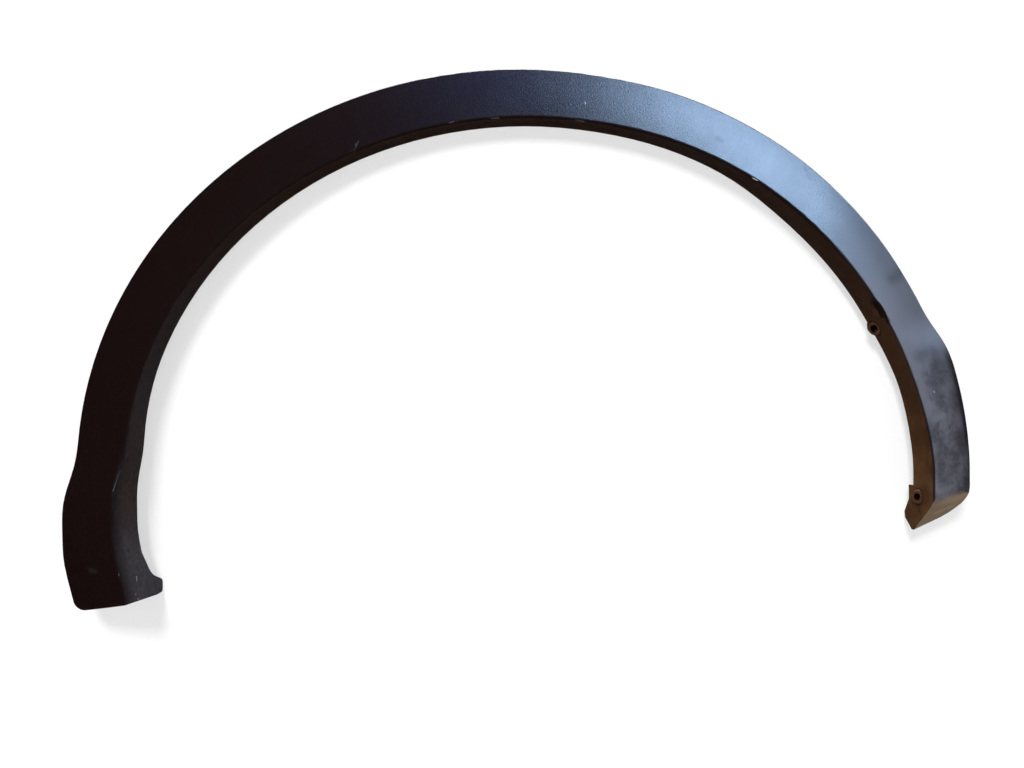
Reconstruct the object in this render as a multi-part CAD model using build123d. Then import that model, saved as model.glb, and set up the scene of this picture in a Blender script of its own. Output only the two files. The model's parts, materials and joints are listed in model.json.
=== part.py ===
from build123d import *
import os
from math import atan2, cos, hypot, radians, sin, tan

# Wheel arch trim: one injection-moulded plastic flare for the edge of a car's wheel opening.
# A thin rim lies on the body side, the face rises from it to a crisp crease, and a return flange runs
# back from the crease to a lip. Both feet are stepped out and boxed, and the flange carries the screws.
# The frame is the trim as fitted: +X to the right and +Z up as seen from outside, +Y into the car.
# The origin is the centre of the wheel opening, in the seat plane where the rim meets the body (y = 0).
# A place on the trim is an angle about the origin, a radius, and a height out from the seat plane.

# Driving dimensions, in millimetres and degrees; a pair of angles is where a change starts and ends
crease_half_width = 386.7    # the crease is half an ellipse on straight legs
crease_half_height = 347.6
leg_crease_height = 34.0     # how far the crease stands out from the body at the legs
crown_crease_drop = 10.0     # and how much less it stands out at the crown
wall = 2.8
crease_round = 2.6
rim_height = 3.5
rim_nose_round = 1.6
face_width_crown = 54.6
face_width_skew = 5.8        # the face is this much wider on the left leg, and narrower on the right
face_bulge = 0.9             # crown of the face across its width
lip_setback = 1.6            # moulding draft: the lip lies this far inside the crease
flange_reach = 32.0          # how far back the flange is drawn before its lip is trimmed

# Right shoulder: crease and rim swell a little, and the flange leans in further below them
shoulder_swell = ((34.0, 52.0), (82.0, 64.0))
shoulder_crease_shift = 1.2
shoulder_rim_shift = 2.0
shoulder_lean = ((12.0, 25.0), (60.0, 42.0))
shoulder_setback = 4.6

# Left foot: stepped out, then turned in with the wheel, and cut off with a round outer corner
left_joggle = (175.5, 183.5)
left_crease_shift = 7.2
left_foot_height = 10.0
left_rim_joggle = (177.5, 185.5)
left_rim_shift = 11.2
left_toe = (186.5, 201.0)
left_toe_in = 15.5
left_taper = (189.0, 201.0)
left_taper_in = 15.5
left_lean = (162.0, 186.0)
left_foot_setback = 4.4
left_end_angle = 197.0       # where the rim meets the cut end
left_end_slope = 12.0        # of the cut end under the face
left_end_fall = 20.0         # and under the flange, where it drops again
left_corner_round = 15.0

# Right foot: its rim steps out before its crease does, and its face bends back to the body at the end
right_joggle = (17.0, 0.0)
right_crease_shift = 5.4
right_rise = (8.0, 0.0)
right_foot_height = 2.0
right_pinch = (36.0, 26.0)   # the rim draws in a little before it steps out
right_pinch_in = 1.4
right_rim_joggle = (22.5, 15.0)
right_rim_shift = 5.2
right_lean = (16.0, 3.0)
right_foot_setback = 2.4
right_bend_drop = 25.0       # the bend lies this far below the origin at the crease
right_bend_rise = 3.0        # and this much higher at the rim
right_bend_round = 25.0
right_tip_drop = 54.5
right_tip_height = 4.0
right_corner_round = 48.0

# Both feet are boxed, with a taller and rounder rim
foot_rim_height = 13.0
foot_nose_round = 6.0

# Screw points in the flange: each a boss with a hole, tilted so that a driver reaches it from outside
upper_screw = {"angle": 22.5, "height": 6.8, "hole": 7.5, "boss": 14.0}
lower_screw = {"angle": -3.4, "height": 9.0, "hole": 6.5, "boss": 14.0}
boss_tilt = 22.0
boss_proud = 2.0             # along the screw, on the wheel side of the flange
boss_depth = 4.5             # and behind it
boss_bevel = 0.7

# Tabs that the flange keeps behind its lip: the corners of each and their rounds
# The upper one is measured from its screw, back and down the arch; the others back and up from the origin
upper_tab = (((-5, -8), 0), ((8.5, -7), 1.5), ((14, 0.5), 2.5), ((6.5, 8), 2), ((-5, 12), 0))
lower_tab = (((-5, -13), 0), ((8.5, -13), 1), ((8, -27), 3),
             ((16.4, -41), 3), ((15, -47), 3), ((-5, -64), 0))
left_tab = (((-5, -66), 0), ((8.5, -104), 18), ((26.5, -112), 7),
            ((26.5, -127.5), 8), ((-5, -131), 0))
tab_half_span = 14.0         # each tab is looked for this far to either side of its plane

# Scoop in the crease beside the upper screw, and the pad that backs it
scoop_angle = 24.7
scoop_length = 31.0
scoop_depth = 3.8
scoop_fade = 15.0
pad_half_span = 4.4
pad_on_face = 11.0
pad_on_flange = 15.0

# Clip towers behind the face: three walls and a slotted plate each
clip_angles = (188.0, 163.0, 138.0, 113.0, 88.0, 63.0, 39.0, 9.0)
clip_place = 0.46            # share of the face width, from the crease
clip_length = 22.0
clip_width = 15.0
clip_wall = 1.6
clip_plate = 2.0
clip_slot = 7.5
clip_recess = 1.5            # the plate lies this far in front of the seat plane

# Gusset ribs between the face and the flange
rib_angles = (193.5, 176.0, 169.5, 156.5, 150.5, 144.5, 131.5, 125.5, 119.5, 106.5, 100.5, 94.5,
              81.5, 75.5, 69.5, 57.0, 51.0, 45.0, 33.0, 16.0, 2.5)
rib_thickness = 1.5
rib_lip_gap = 4.0
rib_reach = 26.0

# Construction
loft_ends = (201.0, -12.0)
feet = (168.0, 26.0)         # beyond these angles the sections change fast, so they lie closer
foot_step = 2.2
arch_step = 5.0
crease_arcs = 3              # the rounds are drawn as several arcs each, so that their facets stay few
nose_arcs = 2
beyond = 80.0                # cutters run this far past the trim


def ease(x, start, end):
    """Smooth step from 0 at start to 1 at end, either way round."""
    share = min(max((x - start) / (end - start), 0.0), 1.0)
    return share * share * (3 - 2 * share)


def between(x, rise, fall):
    """Smooth rise to 1 and fall back to 0."""
    return ease(x, *rise) * ease(x, *fall)


def on_arch(angle):
    return min(max(angle, 0.0), 180.0)


def on_feet(angle):
    return ease(angle, *left_joggle) + ease(angle, *right_rim_joggle)


def crease_shift(angle):
    """How far the crease lies outside the plain ellipse and legs."""
    left = left_crease_shift * ease(angle, *left_joggle) - left_toe_in * ease(angle, *left_toe)
    right = right_crease_shift * ease(angle, *right_joggle)
    return left + right + shoulder_crease_shift * between(angle, *shoulder_swell)


def rim_shift(angle):
    """How far the rim lies outside the plain arch."""
    left = left_rim_shift * ease(angle, *left_rim_joggle) - left_taper_in * ease(angle, *left_taper)
    right = right_rim_shift * ease(angle, *right_rim_joggle) - right_pinch_in * ease(angle, *right_pinch)
    return left + right + shoulder_rim_shift * between(angle, *shoulder_swell)


def crease_radius(angle):
    turn = radians(angle)
    if angle == on_arch(angle):
        across, up = crease_half_height * cos(turn), crease_half_width * sin(turn)
        radius = crease_half_width * crease_half_height / hypot(across, up)
    else:
        radius = crease_half_width / abs(cos(turn))
    return radius + crease_shift(angle)


def crease_height(angle):
    drop = crown_crease_drop * sin(radians(on_arch(angle))) ** 2
    feet_rise = left_foot_height * ease(angle, *left_joggle) + right_foot_height * ease(angle, *right_rise)
    return leg_crease_height - drop + feet_rise


def face_width(angle):
    plain = face_width_crown - face_width_skew * cos(radians(on_arch(angle)))
    return plain + rim_shift(angle) - crease_shift(angle)


def setback(angle):
    feet_lean = left_foot_setback * ease(angle, *left_lean) + right_foot_setback * ease(angle, *right_lean)
    return lip_setback + shoulder_setback * between(angle, *shoulder_lean) + feet_lean


def place(angle, radius, height):
    turn = radians(angle)
    return Vector(radius * cos(turn), -height, radius * sin(turn))


def flange_offset(angle, height, inset=0.0):
    """Where the flange lies at a height, outward from the crease."""
    lean = setback(angle) / crease_height(angle)
    return (height - crease_height(angle)) * lean + inset * hypot(1, lean)


def face_level(angle, outward, inset=0.0):
    """Height of the face at a distance outward from the crease."""
    rim = rim_height + (foot_rim_height - rim_height) * on_feet(angle)
    slope = (crease_height(angle) - rim) / face_width(angle)
    return crease_height(angle) - slope * outward - inset * hypot(1, slope)


def inner_corner(angle, inset):
    """Where the flange and the face meet when both are moved in by inset: outward and height."""
    slope = face_level(angle, 0) - face_level(angle, 1)
    lean = setback(angle) / crease_height(angle)
    foot = flange_offset(angle, 0, inset)
    height = (face_level(angle, 0, inset) - slope * foot) / (1 + slope * lean)
    return foot + lean * height, height


def local_frame(angle, height):
    """A plane on the wheel side of the flange: x runs back, z points at the wheel."""
    radius = crease_radius(angle) + flange_offset(angle, height)
    lean = atan2(setback(angle), crease_height(angle))
    turn = radians(angle)
    normal = (-cos(turn) * cos(lean), -sin(lean), -sin(turn) * cos(lean))
    back = (-cos(turn) * sin(lean), cos(lean), -sin(turn) * sin(lean))
    return Plane(place(angle, radius, height), x_dir=back, z_dir=normal)


def screw_frame(screw):
    """The flange's plane at a screw, tilted towards the outside; z points where the screw comes from."""
    return Plane(local_frame(screw["angle"], screw["height"]) * Rot(0, -boss_tilt, 0))


def rounded(before, corner, after, radius):
    """Start, middle and end of the arc that rounds a corner."""
    one, two = (before - corner).normalized(), (after - corner).normalized()
    half = radians(one.get_angle(two)) / 2
    middle = corner + (one + two).normalized() * (radius / sin(half) - radius)
    return corner + one * (radius / tan(half)), middle, corner + two * (radius / tan(half))


def arcs(start, middle, end, count):
    """An arc as several shorter ones, end to end."""
    whole = Edge.make_three_point_arc(start, middle, end)
    points = [whole @ (i / (2 * count)) for i in range(2 * count + 1)]
    return [Edge.make_three_point_arc(*points[i:i + 3]) for i in range(0, 2 * count, 2)]


def outer_section(angle):
    """The filled section inside the outer skin: rim, face, crease and flange, closed behind."""
    radius, width = crease_radius(angle), face_width(angle)
    rim_foot = place(angle, radius + width, -flange_reach)
    rim_top = place(angle, radius + width, face_level(angle, width))
    crease = place(angle, radius, crease_height(angle))
    lip = place(angle, radius + flange_offset(angle, -flange_reach), -flange_reach)
    nose_round = rim_nose_round + (foot_nose_round - rim_nose_round) * on_feet(angle)
    nose = rounded(rim_foot, rim_top, crease, nose_round)
    edge = rounded(rim_top, crease, lip, crease_round)
    across = nose[2] - edge[0]
    outward = across.cross(Vector(-sin(radians(angle)), 0, cos(radians(angle)))).normalized()
    if outward.Y > 0:
        outward = -outward
    return Wire([
        Edge.make_line(rim_foot, nose[0]),
        *arcs(*nose, nose_arcs),
        Edge.make_three_point_arc(nose[2], edge[0] + across / 2 + outward * face_bulge, edge[0]),
        *arcs(*edge, crease_arcs),
        Edge.make_line(edge[2], lip),
        Edge.make_line(lip, rim_foot),
    ])


def inner_section(angle, inset):
    """The section inside walls of thickness inset, run out past the back."""
    radius, rim, back = crease_radius(angle), face_width(angle) - inset, -2 * flange_reach
    outward, height = inner_corner(angle, inset)
    return Wire.make_polygon([
        place(angle, radius + rim, back),
        place(angle, radius + rim, face_level(angle, rim, inset)),
        place(angle, radius + outward, height),
        place(angle, radius + flange_offset(angle, back, inset), back),
    ], close=True)


def spread(first, last, step):
    count = max(1, round(abs(last - first) / step))
    return [first + (last - first) * i / count for i in range(count)]


def loft_along(section):
    """The sections joined from end to end of the trim."""
    stations = spread(loft_ends[0], feet[0], foot_step) + spread(*feet, arch_step)
    stations += spread(feet[1], loft_ends[1], foot_step) + [loft_ends[1]]
    return Solid.make_loft([section(angle) for angle in stations])


def prism(plane, corners, depth):
    """An outline of corners and their rounds, run to both sides of a plane."""
    points, rounds = zip(*corners)
    return extrude(plane * make_face(FilletPolyline(*points, radius=rounds, close=True)), depth, both=True)


def left_end(inset):
    """What is cut off below the left foot, moved up into it by inset."""
    rim_low, rim_high = [place(angle, crease_radius(angle) + face_width(angle) - inset, 0)
                         for angle in (left_end_angle, left_end_angle - 2)]
    slope, fall = radians(left_end_slope), radians(left_end_fall)
    corner = rim_low + Vector(-sin(slope), 0, cos(slope)) * inset
    crease_end = corner + Vector(cos(slope), 0, sin(slope)) * face_width(left_end_angle)
    wheel_side = crease_end + Vector(cos(fall), 0, -sin(fall)) * beyond
    top = corner + (rim_high - rim_low) * 6
    keep = [((wheel_side.X, wheel_side.Z), 0), ((crease_end.X, crease_end.Z), 0),
            ((corner.X, corner.Z), left_corner_round - inset), ((top.X, top.Z), 0),
            ((wheel_side.X, top.Z), 0)]
    left, right, low, high = corner.X - beyond, wheel_side.X - 1, corner.Z - beyond, top.Z - 1
    block = [((left, low), 0), ((right, low), 0), ((right, high), 0), ((left, high), 0)]
    return prism(Plane.XZ, block, beyond) - prism(Plane.XZ, keep, beyond)


def right_end(inset):
    """What is cut off below the bend of the right foot, moved up into it by inset."""
    crease = Vector(crease_half_width + right_crease_shift, -crease_height(0), -right_bend_drop)
    width = face_width(0)
    rim = Vector(crease.X + width, -face_level(0, width), crease.Z + right_bend_rise)
    tip = Vector(crease_half_width, -right_tip_height, -right_tip_drop)
    along = (rim - crease).normalized()
    out = along.cross(Vector(0, 0, 1)).normalized()
    down = along.cross(out)
    slant = (tip - crease) - along * (tip - crease).dot(along)
    turn = radians(down.get_angle(slant))
    # The bent face: an arc from the face onto the slant, run along the bend
    radius = right_bend_round - inset
    middle = Vector(-right_bend_round * tan(turn / 2), face_bulge - right_bend_round)
    arc = [middle + Vector(sin(share * turn), cos(share * turn)) * radius for share in (0, 0.5, 1)]
    far = arc[2] + Vector(cos(turn), -sin(turn)) * 1.5 * beyond
    outline = ThreePointArc(*arc) + Polyline(arc[2], far, (far.X, beyond), (arc[0].X, beyond), arc[0])
    bend = extrude(Plane(crease, x_dir=down, z_dir=down.cross(out)) * make_face(outline), beyond, both=True)
    # The round outer corner, in the front view, along the line where the slant meets the body
    normal = along.cross(slant)
    fall = normal.X / normal.Z
    side = rim.X - inset
    foot = crease.Z + (normal.Y * crease.Y - normal.X * (rim.X - crease.X)) / normal.Z + inset
    keep = [((side, beyond), 0), ((side, foot), right_corner_round - inset),
            ((side - beyond, foot + fall * beyond), 0), ((side - beyond, beyond), 0)]
    block = [((side - beyond + 1, beyond - 1), 0), ((side + beyond, beyond - 1), 0),
             ((side + beyond, -2 * beyond), 0), ((side - beyond + 1, -2 * beyond), 0)]
    return bend + (prism(Plane.XZ, block, beyond) - prism(Plane.XZ, keep, beyond))


def tabs():
    """The flange's tabs behind the lip, drawn thick; the flange's own skins bound them."""
    at_screw = local_frame(upper_screw["angle"], upper_screw["height"])
    right_leg, left_leg = Plane.YZ.offset(crease_half_width), Plane.YZ.offset(-crease_half_width)
    outlines = ((at_screw, upper_tab), (right_leg, lower_tab), (left_leg, left_tab))
    return [prism(plane, corners, tab_half_span) for plane, corners in outlines]


def clip_tower(angle):
    """Three walls and a slotted plate, open on one side for a clip; x runs along the arch, z back."""
    turn = radians(angle)
    seat = place(angle, crease_radius(angle) + clip_place * face_width(angle), clip_recess)
    frame = Plane(seat, x_dir=(-sin(turn), 0, cos(turn)), z_dir=(0, 1, 0))
    low = (Align.CENTER, Align.CENTER, Align.MAX)
    block = Box(clip_length, clip_width, beyond, align=low)
    room = Box(clip_length, clip_width - 2 * clip_wall, beyond, align=low)
    slot = SlotCenterToCenter(clip_length, clip_slot)
    block -= Pos(clip_wall, 0, -clip_plate) * room
    block -= extrude(Pos(clip_length / 2, 0, -beyond) * slot, 2 * beyond)
    return frame * block


def gusset_rib(angle):
    """A thin web across the inner corner, clear of the lip."""
    radius, top = crease_radius(angle), crease_height(angle) + wall
    foot = flange_offset(angle, rib_lip_gap, wall) + rib_thickness
    low = face_level(angle, rib_reach, wall)
    profile = ((-wall, rib_lip_gap), (foot, rib_lip_gap), (rib_reach, low), (rib_reach, top), (-wall, top))
    outline = Polyline(*[place(angle, radius + outward, height) for outward, height in profile], close=True)
    return extrude(make_face(outline), rib_thickness / 2, both=True)


def scoop_pad():
    """A solid fillet in the inner corner, which keeps the wall whole behind the scoop."""
    def section(angle):
        radius = crease_radius(angle)
        outward, height = inner_corner(angle, wall / 2)
        on_face, on_flange = outward + pad_on_face, height - pad_on_flange
        return Wire.make_polygon([
            place(angle, radius + outward, height),
            place(angle, radius + on_face, face_level(angle, on_face, wall / 2)),
            place(angle, radius + flange_offset(angle, on_flange, wall / 2), on_flange),
        ], close=True)
    return Solid.make_loft([section(scoop_angle + pad_half_span * side) for side in (-1, 0, 1)])


def scoop():
    """A round hollow through the crease that fades out down the flange."""
    radius = (scoop_length**2 / 4 + scoop_depth**2) / (2 * scoop_depth)
    turn, height = radians(scoop_angle), crease_height(scoop_angle)
    lean = scoop_depth / scoop_fade + setback(scoop_angle) / height
    reach = crease_radius(scoop_angle) + scoop_depth - radius * hypot(1, lean)
    axis = Vector(-cos(turn) * lean, 1, -sin(turn) * lean).normalized()
    frame = Plane(place(scoop_angle, reach, height) - axis * scoop_fade, z_dir=axis)
    return frame * Cylinder(radius, 2.4 * scoop_fade, align=(Align.CENTER, Align.CENTER, Align.MIN))


def screw_boss(screw):
    base = (Align.CENTER, Align.CENTER, Align.MIN)
    boss = Cylinder(screw["boss"] / 2, boss_proud + boss_depth, align=base)
    boss = chamfer(boss.edges().sort_by(Axis.Z)[-1], boss_bevel)
    return screw_frame(screw) * Pos(0, 0, -boss_depth) * boss


def screw_hole(screw):
    return screw_frame(screw) * Cylinder(screw["hole"] / 2, beyond / 2)


def wheel_arch_trim():
    """The hollowed flare with its towers, ribs, pad and bosses, then the scoop and the screw holes."""
    across = 3 * crease_half_width
    behind_seat = Pos(0, beyond / 2, 0) * Box(across, beyond, across)
    solid = loft_along(outer_section) - (behind_seat - tabs()) - left_end(0) - right_end(0)
    room = loft_along(lambda angle: inner_section(angle, wall))
    shell = solid - (room - (left_end(wall) - behind_seat) - (right_end(wall) - behind_seat))
    behind_skin = loft_along(lambda angle: inner_section(angle, wall / 2))
    webs = [clip_tower(angle) for angle in clip_angles] + [gusset_rib(angle) for angle in rib_angles]
    bosses = [screw_boss(upper_screw), screw_boss(lower_screw)]
    trim = shell.fuse(*[web & behind_skin for web in webs], scoop_pad(), *bosses)
    return trim - scoop() - screw_hole(upper_screw) - screw_hole(lower_screw)


os.makedirs("parts", exist_ok=True)
export_step(wheel_arch_trim(), "parts/wheel_arch_trim.step")
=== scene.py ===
import json
from math import radians

import bpy
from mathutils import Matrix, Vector
from mathutils.bvhtree import BVHTree


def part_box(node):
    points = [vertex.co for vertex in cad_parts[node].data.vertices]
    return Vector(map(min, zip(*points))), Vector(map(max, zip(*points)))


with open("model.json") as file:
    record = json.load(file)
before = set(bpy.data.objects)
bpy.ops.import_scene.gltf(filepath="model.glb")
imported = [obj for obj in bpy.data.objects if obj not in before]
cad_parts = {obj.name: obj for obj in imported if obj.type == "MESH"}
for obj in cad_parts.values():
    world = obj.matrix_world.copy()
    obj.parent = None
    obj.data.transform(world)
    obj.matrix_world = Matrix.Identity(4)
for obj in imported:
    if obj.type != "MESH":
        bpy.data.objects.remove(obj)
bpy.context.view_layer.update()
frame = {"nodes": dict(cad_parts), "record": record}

scene = bpy.context.scene
scene.view_settings.view_transform = "Standard"

# Backdrop and floor
# The trim leans on a sheet of paper with its crown and its rearmost tab, so that its own soft shadow falls
# there. Paper and floor are grey to the lamps and white to the camera, so they put no pale haze on the trim.
# The paper is seen from the front only, so that the hidden side can be looked at as well.

paper_gap = 0.0010           # between the trim and the paper, where they come nearest
paper_grey = (0.40, 0.40, 0.40, 1.0)
paper_glow = 0.56            # added to its grey for the camera, which then sees it as white
paper_half_width = 4.0
paper_height = 4.5
floor_drop = 0.185           # below the feet, which keeps the floor out of the photo's frame
floor_grey = (0.52, 0.52, 0.515, 1.0)
floor_glow = 0.50

trim_low, trim_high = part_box("wheel_arch_trim")
floor_z = trim_low.z - floor_drop
paper_lean = trim_high.y / (trim_high.z - trim_low.z)
paper_foot = trim_high.y + paper_gap + paper_lean * floor_drop
paper_head = paper_foot - paper_lean * paper_height


def add_node(tree, kind, inputs=(), **settings):
    """A shader node with its settings, and with its inputs set or linked."""
    node = tree.nodes.new(kind)
    for name, value in settings.items():
        setattr(node, name, value)
    for socket, value in dict(inputs).items():
        if isinstance(value, bpy.types.NodeSocket):
            tree.links.new(value, node.inputs[socket])
        else:
            node.inputs[socket].default_value = value
    return node


def math_node(tree, operation, *values, clamp=False):
    inputs = {i: value for i, value in enumerate(values)}
    return add_node(tree, "ShaderNodeMath", inputs, operation=operation, use_clamp=clamp).outputs[0]


def seen_directly(tree):
    """A mask of the rays that show the set itself: the camera's, and those in a mirror or through glass."""
    rays = add_node(tree, "ShaderNodeLightPath").outputs
    seen = math_node(tree, "MAXIMUM", rays["Is Camera Ray"], rays["Is Glossy Ray"])
    return math_node(tree, "MAXIMUM", seen, rays["Is Transmission Ray"])


def new_material(name):
    """An empty node material, its node tree and its output node."""
    material = bpy.data.materials.new(name)
    material.use_nodes = True
    material.node_tree.nodes.clear()
    output = add_node(material.node_tree, "ShaderNodeOutputMaterial")
    return material, material.node_tree, output


def matt_surface(tree, colour, camera_glow):
    """A matt shader that glows for the camera alone, so that it looks white and keeps its shadows."""
    matt = add_node(tree, "ShaderNodeBsdfDiffuse", {"Color": colour}).outputs[0]
    level = math_node(tree, "MULTIPLY", seen_directly(tree), camera_glow)
    glow = add_node(tree, "ShaderNodeEmission", {"Strength": level}).outputs[0]
    return add_node(tree, "ShaderNodeAddShader", {0: matt, 1: glow}).outputs[0]


def one_sided(tree, front):
    """A shader that is seen from the front only."""
    side = add_node(tree, "ShaderNodeNewGeometry").outputs["Backfacing"]
    behind = add_node(tree, "ShaderNodeBsdfTransparent").outputs[0]
    return add_node(tree, "ShaderNodeMixShader", {0: side, 1: front, 2: behind}).outputs[0]


def flat_sheet(name, corners, material):
    """A flat sheet of the set, which is no part of the trim."""
    mesh = bpy.data.meshes.new(name)
    mesh.from_pydata(corners, [], [tuple(range(len(corners)))])
    mesh.materials.append(material)
    sheet = bpy.data.objects.new(name, mesh)
    scene.collection.objects.link(sheet)
    sheet.visible_glossy = False
    return sheet


paper, tree, output = new_material("white paper")
tree.links.new(one_sided(tree, matt_surface(tree, paper_grey, paper_glow)), output.inputs["Surface"])
backdrop = flat_sheet("backdrop", [
    (-paper_half_width, paper_foot, floor_z), (paper_half_width, paper_foot, floor_z),
    (paper_half_width, paper_head, floor_z + paper_height),
    (-paper_half_width, paper_head, floor_z + paper_height),
], paper)
backdrop.visible_shadow = False

floor_paint, tree, output = new_material("pale floor")
tree.links.new(matt_surface(tree, floor_grey, floor_glow), output.inputs["Surface"])
flat_sheet("floor", [
    (-paper_half_width, -paper_half_width, floor_z), (paper_half_width, -paper_half_width, floor_z),
    (paper_half_width, paper_half_width, floor_z), (-paper_half_width, paper_half_width, floor_z),
], floor_paint)

# Wheel arch trim
# One injection moulding in black plastic with a fine moulded grain, held to the body by screws through its
# flange and by push-in clips. Years of use have left dust, brown road dirt and scuff marks on it; some of
# the colours painted on it are light and shade, as noted below.

trim = frame["nodes"]["wheel_arch_trim"]


def vector_node(tree, operation, *values, output=0):
    inputs = {i: value for i, value in enumerate(values)}
    return add_node(tree, "ShaderNodeVectorMath", inputs, operation=operation).outputs[output]


def smooth_ramp(tree, value, start, end):
    """A mask that rises smoothly from 0 at start to 1 at end, either way round."""
    if start < end:
        limits = {"From Min": start, "From Max": end, "To Min": 0.0, "To Max": 1.0}
    else:
        limits = {"From Min": end, "From Max": start, "To Min": 1.0, "To Max": 0.0}
    node = add_node(tree, "ShaderNodeMapRange", {"Value": value, **limits}, interpolation_type="SMOOTHSTEP")
    return node.outputs["Result"]


def product(tree, *masks):
    """The place where all the masks overlap."""
    result = masks[0]
    for mask in masks[1:]:
        result = math_node(tree, "MULTIPLY", result, mask)
    return result


def larger(tree, *masks):
    """The place that any of the masks covers."""
    return math_node(tree, "MAXIMUM", *masks)


def outside(tree, mask):
    """The place that a mask leaves free."""
    return math_node(tree, "SUBTRACT", 1.0, mask)


def blended(tree, share, below, above):
    """The colour above laid over the colour below by a mask."""
    node = add_node(tree, "ShaderNodeMix", {0: share, 6: below, 7: above}, data_type="RGBA")
    return node.outputs[2]


def between(tree, share, low, high):
    """A value that runs from low to high with a mask."""
    return add_node(tree, "ShaderNodeMix", {0: share, 2: low, 3: high}).outputs[0]


def noise(tree, place, size, detail=3.0, roughness=0.55):
    """Soft noise whose patches are about that size."""
    inputs = {"Vector": place, "Scale": 1.0 / size, "Detail": detail, "Roughness": roughness}
    return add_node(tree, "ShaderNodeTexNoise", inputs).outputs["Fac"]


moulding, tree, output = new_material("grained black plastic")
geometry = add_node(tree, "ShaderNodeNewGeometry")
place = geometry.outputs["Position"]
facing = geometry.outputs["Normal"]

# Where a point lies: its turn from the crown to the right, in degrees, its depth towards the body, and how
# far its surface faces outward, away from the hub. Each pair is the start and the end of a soft change.
crease_to_flange = (-0.82, -0.95)    # outward
crease_to_face = (-0.45, 0.28)       # outward
nose_to_face = (0.80, 0.55)          # outward, from the rounded nose of the rim
face_to_end = (-0.10, -0.40)         # upward, on the slanted end of the right foot
end_turns = (90.0, 93.0)

across, back, up = add_node(tree, "ShaderNodeSeparateXYZ", {"Vector": place}).outputs
turn = math_node(tree, "DEGREES", math_node(tree, "ARCTAN2", across, up))
spoke = vector_node(tree, "NORMALIZE", vector_node(tree, "MULTIPLY", place, (1.0, 0.0, 1.0)))
outward = vector_node(tree, "DOT_PRODUCT", spoke, facing, output="Value")
facing_parts = add_node(tree, "ShaderNodeSeparateXYZ", {"Vector": facing}).outputs
on_flange = smooth_ramp(tree, outward, *crease_to_flange)
off_crease = smooth_ramp(tree, outward, *crease_to_face)
off_nose = smooth_ramp(tree, outward, *nose_to_face)
on_end = smooth_ramp(tree, facing_parts["Z"], *face_to_end)
on_end = product(tree, on_end, smooth_ramp(tree, turn, *end_turns))

# The screw bosses stand on the flange and are dirty as it is, with rust about them; their holes are painted
# black and the groove round each boss is darkened, as painted shade
shade_black = (0.0045, 0.0030, 0.0025, 1.0)
hole_edge = (0.0007, 0.0001)         # outside the hole's radius
boss_reach = 0.0095                  # from the middle of a hole
boss_edge = (1.15 * boss_reach, boss_reach)
rust_edge = (1.5 * boss_reach, 0.8 * boss_reach)
groove_edge = (1.5 * boss_reach, 1.2 * boss_reach)
boss_radius = 0.0070
groove_inside = (boss_radius - 0.0004, boss_radius + 0.0004)
groove_outside = (boss_radius + 0.0024, boss_radius + 0.0010)

screws = [mount for mount in frame["record"]["mounts"] if mount["kind"] == "bore"]
painted_hole_shade = 0.0
rust_rings = 0.0
groove_shade = 0.0
for screw in screws:
    from_middle = vector_node(tree, "SUBTRACT", place, tuple(screw["pos_m"]))
    sideways = vector_node(tree, "CROSS_PRODUCT", from_middle, tuple(screw["axis"]))
    from_middle = vector_node(tree, "LENGTH", from_middle, output="Value")
    from_axis = vector_node(tree, "LENGTH", sideways, output="Value")
    hole = screw["dims"]["r_mm"] / 1000
    near = smooth_ramp(tree, from_middle, *boss_edge)
    on_flange = larger(tree, on_flange, near)
    in_hole = smooth_ramp(tree, from_axis, *(hole + beyond for beyond in hole_edge))
    painted_hole_shade = larger(tree, painted_hole_shade, product(tree, near, in_hole))
    rust_rings = larger(tree, rust_rings, smooth_ramp(tree, from_middle, *rust_edge))
    groove_in = smooth_ramp(tree, from_axis, *groove_inside)
    groove_out = smooth_ramp(tree, from_axis, *groove_outside)
    close = smooth_ramp(tree, from_middle, *groove_edge)
    groove_shade = larger(tree, groove_shade, product(tree, groove_in, groove_out, close))

# Brown on the wheel side, thick at the right foot and thin towards the crown, partly road dirt and partly
# painted light from a brown floor below; grey haze on the left, partly dust and partly painted window light
flange_black = (0.0365, 0.0168, 0.0100, 1.0)
left_black = (0.0210, 0.0135, 0.0130, 1.0)
flange_haze_and_light = (0.0680, 0.0440, 0.0430, 1.0)
foot_haze_and_light = (0.0700, 0.0650, 0.0800, 1.0)
brown_dirt_and_floor_light = (0.064, 0.0220, 0.0042, 1.0)
olive_dirt_and_floor_light = (0.098, 0.0430, 0.0095, 1.0)
rust = (0.078, 0.0270, 0.0085, 1.0)
patch_size = 0.026
speckle_size = 0.0040
left_turns = (-62.0, -98.0)
left_foot_turns = (-94.0, -103.0)
haze_turns, haze_speckle = (-50.0, -104.0), (0.15, 0.80)
haze_depth = (-0.043, -0.022)        # from the crease, which has none
brown_turns, brown_patches = (55.0, 74.0), (0.05, 0.48)
olive_turns, olive_patches = (72.0, 92.0), (0.40, 0.66)
rust_speckle = (0.30, 0.60)
groove_shade_cover = 0.65

patches = noise(tree, place, patch_size, detail=5.0)
speckle = noise(tree, place, speckle_size, detail=4.0, roughness=0.7)
# The brown is partly road dirt and partly painted light, bounced up from a brown floor onto the wheel side.
brown_cover = smooth_ramp(tree, patches, *brown_patches)
brown_cover = product(tree, smooth_ramp(tree, turn, *brown_turns), brown_cover)
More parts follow.
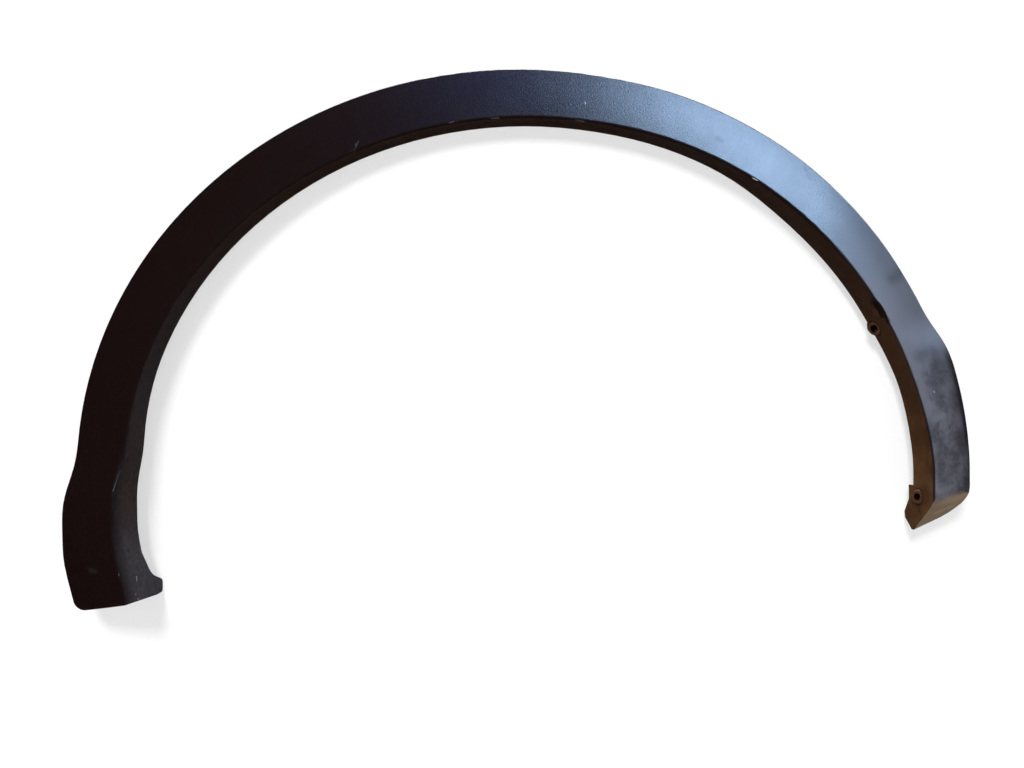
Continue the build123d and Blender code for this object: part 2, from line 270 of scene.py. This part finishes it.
# The grey haze on the left is partly dust and partly painted light of the window; it fades out towards the
# crease, which leaves a darker band there as painted shade.
haze_and_light_cover = smooth_ramp(tree, speckle, *haze_speckle)
haze_and_light_cover = product(tree, smooth_ramp(tree, turn, *haze_turns), haze_and_light_cover)
haze_and_light_cover = product(tree, haze_and_light_cover, smooth_ramp(tree, back, *haze_depth))
haze = blended(tree, smooth_ramp(tree, turn, *left_foot_turns), flange_haze_and_light, foot_haze_and_light)
olive_share = smooth_ramp(tree, patches, *olive_patches)
olive_share = product(tree, smooth_ramp(tree, turn, *olive_turns), olive_share)
brown = blended(tree, olive_share, brown_dirt_and_floor_light, olive_dirt_and_floor_light)
rust_rings = product(tree, rust_rings, smooth_ramp(tree, speckle, *rust_speckle))
flange_colour = blended(tree, smooth_ramp(tree, turn, *left_turns), flange_black, left_black)
flange_colour = blended(tree, haze_and_light_cover, flange_colour, haze)
flange_colour = blended(tree, brown_cover, flange_colour, brown)
flange_colour = blended(tree, rust_rings, flange_colour, rust)
# Painted shade: the groove round each boss is darkened, and the walls of the holes are painted near black.
flange_colour = blended(tree, product(tree, groove_shade, groove_shade_cover), flange_colour, shade_black)
flange_colour = blended(tree, painted_hole_shade, flange_colour, shade_black)

# Grey dust on the face of the right foot: a thin even veil above it, blotches lower down, a pale band beside
# the crease, and less towards the rim. Its blue tint is partly painted window light, and the crease, the
# nose of the rim and the rim side are kept darker with less dust, as painted shade
plastic_black = (0.0082, 0.0034, 0.0030, 1.0)
# Grey-blue dust; the blue is partly painted light of the window.
dust_and_window_blue = (0.162, 0.168, 0.209, 1.0)
veil_turns = (46.0, 66.0)
veil_cover = 0.62
blotch_turns = (69.0, 79.0)
patch_part, speckle_part = 0.65, 0.35
blotch_noise = (0.36, 0.62)
thin_blotch, thick_blotch = 0.24, 0.66
band_depth, band_turns = (-0.0275, -0.0305), (86.0, 81.0)
band_cover = 0.58
rim_depth = (-0.033, -0.012)         # from the crease to the rim
inner_share = 1.08                   # of the dust, at the crease
veil_rim_share, blotch_rim_share = 0.80, 0.50
crease_dust = 0.065                  # the share of the dust that stays in the crease

veil = smooth_ramp(tree, turn, *veil_turns)
blotchy = smooth_ramp(tree, turn, *blotch_turns)
fine_part = math_node(tree, "MULTIPLY", speckle, speckle_part)
blotches = math_node(tree, "MULTIPLY_ADD", patches, patch_part, fine_part)
blotch_cover = between(tree, smooth_ramp(tree, blotches, *blotch_noise), thin_blotch, thick_blotch)
band = product(tree, smooth_ramp(tree, back, *band_depth), smooth_ramp(tree, turn, *band_turns), band_cover)
blotch_cover = larger(tree, blotch_cover, band)
# Less dust towards the rim: painted shade on the rim side.
rim_share = between(tree, blotchy, veil_rim_share, blotch_rim_share)
rim_share = between(tree, smooth_ramp(tree, back, *rim_depth), inner_share, rim_share)
dust_cover = product(tree, between(tree, blotchy, veil_cover, blotch_cover), rim_share)
# Little dust on the crease and on the rim's nose leaves them dark: painted shade.
dust_cover = product(tree, dust_cover, veil, between(tree, off_crease, crease_dust, 1.0), off_nose)

# Marks, each given as a stroke between two points of the photo, in pixels, and laid on the surface that is
# seen there
camera_place = Vector((-0.0132, -0.900, 0.0884))
photo_width, photo_height = 1024, 768
focal_pixels = 900
ragged_size = 0.0011                 # of the noise that breaks a stroke's edge
ragged_gain, ragged_base = 2.2, 0.05
skin = BVHTree.FromPolygons([v.co for v in trim.data.vertices], [p.vertices for p in trim.data.polygons])


def seen_at(pixel):
    """The point of the trim that the photo shows at a pixel."""
    right, down = pixel
    sight = Vector((right - photo_width / 2, focal_pixels, photo_height / 2 - down)).normalized()
    return skin.ray_cast(camera_place, sight)[0]


def stroke_group():
    """A node group: the mask of a ragged stroke between two points, full within its core."""
    group = bpy.data.node_groups.new("stroke", "ShaderNodeTree")
    for name, kind in (("Start", "Vector"), ("End", "Vector"), ("Half Width", "Float"), ("Core", "Float")):
        group.interface.new_socket(name, in_out="INPUT", socket_type="NodeSocket" + kind)
    group.interface.new_socket("Mask", in_out="OUTPUT", socket_type="NodeSocketFloat")
    given = add_node(group, "NodeGroupInput").outputs
    place = add_node(group, "ShaderNodeNewGeometry").outputs["Position"]
    run = vector_node(group, "SUBTRACT", given["End"], given["Start"])
    reach = vector_node(group, "SUBTRACT", place, given["Start"])
    along = vector_node(group, "DOT_PRODUCT", reach, run, output="Value")
    whole = vector_node(group, "DOT_PRODUCT", run, run, output="Value")
    share = math_node(group, "DIVIDE", along, whole, clamp=True)
    scaled = add_node(group, "ShaderNodeVectorMath", {0: run, "Scale": share}, operation="SCALE").outputs[0]
    away = vector_node(group, "DISTANCE", reach, scaled, output="Value")
    ragged = noise(group, place, ragged_size, roughness=0.7)
    ragged = math_node(group, "MULTIPLY_ADD", ragged, ragged_gain, ragged_base)
    away = math_node(group, "MULTIPLY", math_node(group, "DIVIDE", away, given["Half Width"]), ragged)
    limits = {"From Min": given["Core"], "From Max": 1.0, "To Min": 1.0, "To Max": 0.0}
    fade = add_node(group, "ShaderNodeMapRange", {"Value": away, **limits}, interpolation_type="SMOOTHSTEP")
    add_node(group, "NodeGroupOutput", {"Mask": fade.outputs["Result"]})
    return group


stroke_mask = stroke_group()


def stroke_masks(tree, ends, half_width, strength, core):
    """All the strokes of one kind as one mask."""
    whole = 0.0
    for start, end in ends.values():
        inputs = {"Start": seen_at(start), "End": seen_at(end), "Half Width": half_width, "Core": core}
        node = add_node(tree, "ShaderNodeGroup", node_tree=stroke_mask)
        for socket, value in inputs.items():
            node.inputs[socket].default_value = value
        whole = larger(tree, whole, node.outputs[0])
    return math_node(tree, "MULTIPLY", whole, strength)


# Places of the right foot that have been rubbed nearly clean, one with thick dust, and a band along the rim
# without dust that paints the rim side darker, as shade
bare_ends = {
    "patch under the shoulder": ((933.0, 351.0), (936.0, 367.0)),
    "patch at the rim": ((955.0, 394.0), (957.0, 404.0)),
    "low patch at the rim": ((961.0, 436.0), (962.0, 449.0)),
    "patch on the foot": ((937.0, 457.0), (948.0, 452.0)),
    "patch by the crease": ((941.0, 440.0), (941.5, 478.0)),
    "patch at the rim of the shoulder": ((891.0, 279.0), (899.0, 274.0)),
    "patch below the scoop": ((919.0, 356.0), (926.0, 352.0)),
    "patch down the middle": ((936.0, 385.0), (940.0, 403.0)),
}
thick_ends = {"thick dust above the foot": ((934.0, 419.0), (943.0, 416.0))}
rim_shade_depth = (-0.0175, -0.0145)
rim_shade_start, rim_shade_end = (72.5, 75.5), (89.0, 85.0)      # turns
rim_shade_strength = 0.85

bare = stroke_masks(tree, bare_ends, half_width=0.0130, strength=0.42, core=0.0)
thick = stroke_masks(tree, thick_ends, half_width=0.0110, strength=0.66, core=0.1)
# Painted shade: a band along the rim of the foot loses its dust and stays dark.
rim_turns = smooth_ramp(tree, turn, *rim_shade_end)
rim_turns = product(tree, smooth_ramp(tree, turn, *rim_shade_start), rim_turns)
rim_shade = product(tree, smooth_ramp(tree, back, *rim_shade_depth), rim_turns, rim_shade_strength)
dust_cover = product(tree, dust_cover, outside(tree, bare))
dust_cover = larger(tree, dust_cover, thick)
dust_cover = product(tree, dust_cover, outside(tree, rim_shade))
face_colour = blended(tree, dust_cover, plastic_black, dust_and_window_blue)

# Tan on the slanted end of the right foot, partly dirt and partly painted light reflected from a brown floor
# below; it starts higher towards the rim and thins out above the end, and its lower edge is paler
end_tan_and_reflection = (0.245, 0.172, 0.110, 1.0)
end_pale = (0.360, 0.262, 0.178, 1.0)
tan_tilt = 0.30
tan_heights = (-0.138, -0.151)
tan_veil_heights = (-0.226, -0.246)
tan_veil_cover = 0.5
pale_edge_ends = {"lower edge of the end": ((936.0, 513.0), (953.0, 506.0))}

tan_level = math_node(tree, "MULTIPLY_ADD", across, -tan_tilt, up)
tan_and_reflection_share = product(tree, on_end, smooth_ramp(tree, tan_level, *tan_heights))
tan_veil = smooth_ramp(tree, tan_level, *tan_veil_heights)
tan_veil = product(tree, veil, off_crease, tan_veil, tan_veil_cover)
pale_edge = stroke_masks(tree, pale_edge_ends, half_width=0.0055, strength=0.8, core=0.0)
# Painted reflection of a brown floor on the end that faces down, partly tan dirt.
face_colour = blended(tree, larger(tree, tan_and_reflection_share, tan_veil), face_colour, end_tan_and_reflection)
face_colour = blended(tree, pale_edge, face_colour, end_pale)

# Thin even dust on the hidden side: what faces the body, the ribs and the towers, but not the rim's edge
hidden_grey = (0.0660, 0.0620, 0.0570, 1.0)
rim_edge_outward, rim_edge_depth = (0.60, 0.85), (-0.016, -0.012)
front_to_hidden = (-0.22, -0.02)     # how far the surface faces the body
hidden_patches = (0.0, 0.6)

rim_edge = smooth_ramp(tree, back, *rim_edge_depth)
rim_edge = product(tree, smooth_ramp(tree, outward, *rim_edge_outward), rim_edge)
hidden = smooth_ramp(tree, facing_parts["Y"], *front_to_hidden)
hidden = product(tree, hidden, outside(tree, rim_edge), smooth_ramp(tree, patches, *hidden_patches))
face_colour = blended(tree, hidden, face_colour, hidden_grey)
colour = blended(tree, on_flange, face_colour, flange_colour)

# The grain, and how dull the surface is: more where dust and dirt lie
grain_size = 0.0014                  # from one bump of the grain to the next
grain_depth = 0.00018
clean_dullness = 0.250
smear_size, smear_dullness = 0.045, 0.12
mottle_size, mottle_dullness = 0.009, 0.06
dust_dullness = 0.25

grain = noise(tree, place, grain_size, detail=2.0, roughness=0.6)
bump = add_node(tree, "ShaderNodeBump", {"Strength": 1.0, "Distance": grain_depth, "Height": grain})
smears = noise(tree, place, smear_size, detail=4.0)
mottles = noise(tree, place, mottle_size)
dirty = larger(tree, dust_cover, product(tree, on_flange, brown_cover))
dirty = larger(tree, dirty, hidden)
dullness = math_node(tree, "MULTIPLY_ADD", smears, smear_dullness, clean_dullness)
dullness = math_node(tree, "MULTIPLY_ADD", mottles, mottle_dullness, dullness)
dullness = math_node(tree, "MULTIPLY_ADD", dirty, dust_dullness, dullness, clamp=True)
dullness = larger(tree, dullness, painted_hole_shade)

# Scratches, nicks, scuff marks and smears; a painted highlight on the left joggle; painted shade in the
# scoop
nick_pale = (0.50, 0.51, 0.54, 1.0)
scuff_and_highlight_grey = (0.100, 0.100, 0.110, 1.0)
nick_ends = {
    "nick on the crease": ((752.5, 178.0), (757.5, 180.5)),
    "tick on the crown": ((585.0, 102.0), (585.5, 104.0)),
    "tick on the left foot": ((136.5, 576.5), (137.0, 581.0)),
    "dot on the left foot": ((135.5, 594.0), (136.0, 595.0)),
    "low dot on the left foot": ((138.0, 598.5), (138.5, 599.5)),
    "dot on the right foot": ((934.0, 391.5), (934.5, 392.5)),
}
scuff_and_highlight_ends = {
    "v scratch, long leg": ((354.0, 151.0), (358.5, 141.0)),
    "v scratch, short leg": ((355.5, 143.5), (356.0, 147.0)),
    "scuff left of the crown": ((449.0, 123.0), (454.0, 121.5)),
    "scuff at the crown": ((491.0, 118.5), (499.0, 118.0)),
    "scuff right of the crown": ((576.0, 120.0), (584.0, 121.5)),
    "speck beside the tick": ((570.5, 104.5), (571.5, 104.5)),
    # A painted highlight: the pale line on the rounded edge of the left joggle, where it catches the light.
    "painted highlight on the edge of the left joggle": ((120.0, 471.0), (113.0, 491.0)),
    "dot inside the left crease": ((118.5, 574.0), (119.0, 575.5)),
    "dot under the left joggle": ((119.5, 496.0), (120.5, 497.0)),
    "rub on the left lip": ((143.0, 427.0), (142.4, 431.0)),
    "lower rub on the left lip": ((139.0, 460.0), (138.8, 464.0)),
}
smudge_ends = {"smudge on the left face": ((90.0, 570.0), (96.0, 571.5))}
smear_ends = {
    "streak on the shoulder": ((805.0, 168.0), (810.0, 178.0)),
    "smear on the shoulder": ((718.0, 138.0), (722.0, 141.0)),
}
scoop_shade_ends = {
    "scoop beside the upper screw": ((876.0, 303.5), (887.5, 321.0)),
    "floor of the scoop": ((875.0, 304.0), (882.0, 316.0)),
}

# Painted shade: the hollow of the scoop beside the upper screw is painted near black.
scoop = stroke_masks(tree, scoop_shade_ends, half_width=0.0042, strength=0.95, core=0.35)
smudge = stroke_masks(tree, smudge_ends, half_width=0.0048, strength=0.07, core=0.0)
scuffs_and_highlight = stroke_masks(tree, scuff_and_highlight_ends, half_width=0.0008, strength=0.60, core=0.1)
nicks = stroke_masks(tree, nick_ends, half_width=0.0006, strength=0.85, core=0.3)
dull_smears = stroke_masks(tree, smear_ends, half_width=0.0050, strength=0.06, core=0.0)
colour = blended(tree, scoop, colour, plastic_black)
colour = blended(tree, smudge, colour, scuff_and_highlight_grey)
colour = blended(tree, scuffs_and_highlight, colour, scuff_and_highlight_grey)
colour = blended(tree, nicks, colour, nick_pale)
dullness = math_node(tree, "ADD", dullness, dull_smears, clamp=True)

plastic_shine = 0.5
plastic = add_node(tree, "ShaderNodeBsdfPrincipled", {
    "Base Color": colour, "Roughness": dullness, "Normal": bump.outputs[0],
    "Specular IOR Level": plastic_shine,
})
tree.links.new(plastic.outputs[0], output.inputs["Surface"])

trim.data.materials.clear()
trim.data.materials.append(moulding)

# Black cards behind the screw holes
# Painted shade: a dark sheet behind each hole stands in for the shade seen through it, so that no white
# paper shows through them. They are part of the set, and like the paper they are seen from the front only.

shade_card_half_width = 0.0055
shade_card_black, tree, output = new_material("one-sided black shade card")
shade_card_face = add_node(tree, "ShaderNodeBsdfDiffuse", {"Color": shade_black}).outputs[0]
tree.links.new(one_sided(tree, shade_card_face), output.inputs["Surface"])
for screw in screws:
    axis = Vector(screw["axis"])
    middle = Vector(screw["pos_m"]) - axis * (screw["dims"]["length_mm"] / 2000 + paper_gap)
    turned = axis.to_track_quat("Z", "Y")
    corners = [middle + turned @ Vector((x, y, 0.0)) * shade_card_half_width
               for x, y in ((-1, -1), (1, -1), (1, 1), (-1, 1))]
    card = flat_sheet("painted shade card behind " + screw["name"], corners, shade_card_black)
    card.visible_shadow = False

# Lights
# A soft lamp at the upper left throws the shadow to the lower right. The sheen on the face is a cold window
# at the upper right, with a faint patch of blue sky above; the lamp behind the paper is for the hidden side.

lamp_aim = Vector((0.0, 0.0, 0.15))


def soft_lamp(name, towards, distance, width, height, power, tint=(1.0, 1.0, 1.0), roll=0.0):
    """An area lamp that looks at the trim from a direction, turned about its own axis by roll."""
    data = bpy.data.lights.new(name, "AREA")
    data.shape = "RECTANGLE"
    data.size = width
    data.size_y = height
    data.energy = power
    data.color = tint
    lamp = bpy.data.objects.new(name, data)
    scene.collection.objects.link(lamp)
    lamp.location = lamp_aim + Vector(towards).normalized() * distance
    lamp.rotation_euler = (lamp_aim - lamp.location).to_track_quat("-Z", "Y").to_euler()
    lamp.rotation_euler.rotate_axis("Z", radians(roll))
    lamp.visible_camera = False
    return lamp


key = soft_lamp("soft key", towards=(-0.20, -0.825, 0.528), distance=6.0, width=1.4, height=1.4, power=330.0)
key.visible_glossy = False
window = soft_lamp("window", towards=(0.566, -0.36, 0.741), distance=2.6, width=1.82, height=1.2,
                   power=150.0, tint=(0.45, 0.67, 1.0), roll=-55.0)
window.visible_diffuse = False
sky = soft_lamp("blue sky", towards=(0.035, -0.36, 0.93), distance=2.6, width=1.2, height=1.2,
                power=4.2, tint=(0.12, 0.25, 1.0))
sky.visible_diffuse = False
soft_lamp("lamp behind", towards=(0.0, 0.50, 0.87), distance=3.0, width=1.6, height=1.6, power=120.0)

# The room lights the trim evenly and is white where it is seen itself; it stays out of the sheen
room_light = 0.35
world = bpy.data.worlds.new("pale room")
scene.world = world
world.use_nodes = True
tree = world.node_tree
tree.nodes.clear()
level = between(tree, seen_directly(tree), room_light, 1.0)
room = add_node(tree, "ShaderNodeBackground", {"Color": (1.0, 1.0, 1.0, 1.0), "Strength": level})
add_node(tree, "ShaderNodeOutputWorld", {"Surface": room.outputs[0]})
world.cycles_visibility.glossy = False

# Camera
# It stands straight in front of the trim, a little above the middle of the wheel opening, and looks level
# towards the body.

film_width = 36.0
lens = bpy.data.cameras.new("camera")
lens.sensor_width = film_width
lens.lens = film_width * focal_pixels / photo_width
camera = bpy.data.objects.new("camera", lens)
camera.location = camera_place
camera.rotation_euler = (radians(90), 0, 0)
scene.collection.objects.link(camera)
scene.camera = camera
